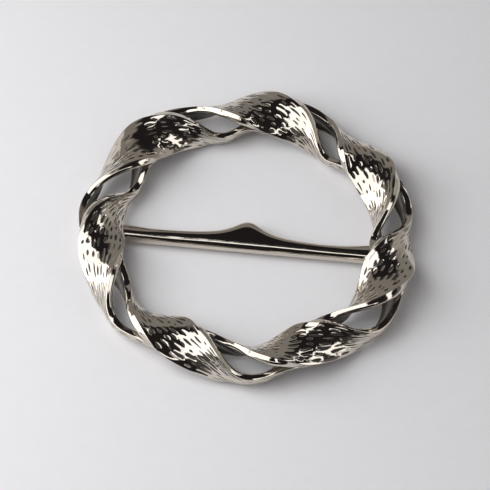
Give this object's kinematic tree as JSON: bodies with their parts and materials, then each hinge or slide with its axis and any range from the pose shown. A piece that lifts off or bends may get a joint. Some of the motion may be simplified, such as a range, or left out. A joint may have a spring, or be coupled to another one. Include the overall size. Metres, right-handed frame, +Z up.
{
  "type": "scarf ring",
  "caption": "Round scarf ring of twisted polished metal ribbon with eye-shaped slots and a pointed cross bar that holds a scarf pulled through both sides.",
  "frame": {"origin": "middle of the ring's outline in plan, at the level of the surface that it rests on", "axes": "+Z up, away from the resting surface; +X along the cross bar; +Y towards the side that the bar's peak points to"},
  "size_m": [0.0618, 0.0624, 0.0067],
  "materials": {
    "polished_metal": "polished silver-coloured plating, engraved with short dashes on the outer faces"
  },
  "bodies": {
    "root": {"scarf_ring": "polished_metal"}
  },
  "joints": []
}
